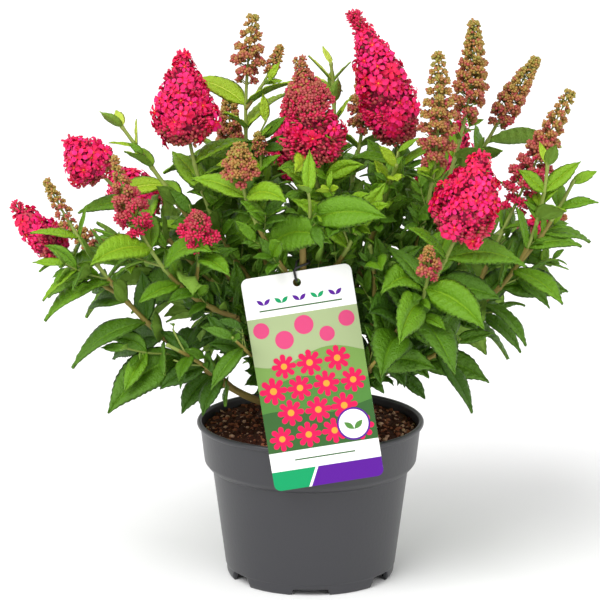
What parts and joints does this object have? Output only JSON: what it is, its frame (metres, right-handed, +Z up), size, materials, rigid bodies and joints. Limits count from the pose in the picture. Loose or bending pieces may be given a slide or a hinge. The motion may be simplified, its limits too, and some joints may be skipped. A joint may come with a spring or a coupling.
{
  "type": "potted butterfly bush",
  "caption": "Dwarf butterfly bush with hot pink flower spikes, in a round nursery pot filled with potting mix, with a blank-patterned plant label on a tie.",
  "frame": {"origin": "middle of the pot's underside, on the surface that it stands on", "axes": "+Z up, -Y towards the side that the label faces, +X to the right as seen from there"},
  "size_m": [0.4281, 0.3536, 0.424],
  "materials": {
    "pot": "satin dark grey",
    "mix": "rough dark brown crumbs",
    "wood": "rough young bark",
    "foliage": "soft leaves with pink flower spikes",
    "label": "printed gloss",
    "tie": "satin black"
  },
  "bodies": {
    "root": {"pot": "pot", "potting_mix": "mix", "trunk": "wood", "bough_left_low": "wood", "bough_left_mid": "wood", "bough_front": "wood", "bough_right_front": "wood", "bough_right_low": "wood", "bough_back_right": "wood", "bough_back": "wood", "bough_back_left": "wood", "bough_left_high": "wood", "bough_mid_left": "wood", "bough_mid_right": "wood", "bough_right_high": "wood", "bough_mid": "wood", "foliage_left_low": "foliage", "foliage_left_mid": "foliage", "foliage_front": "foliage", "foliage_right_front": "foliage", "foliage_right_low": "foliage", "foliage_back_right": "foliage", "foliage_back": "foliage", "foliage_back_left": "foliage", "foliage_left_high": "foliage", "foliage_mid_left": "foliage", "foliage_mid_right": "foliage", "foliage_right_high": "foliage", "foliage_mid": "foliage", "label": "label", "label_tie": "tie"}
  },
  "joints": []
}
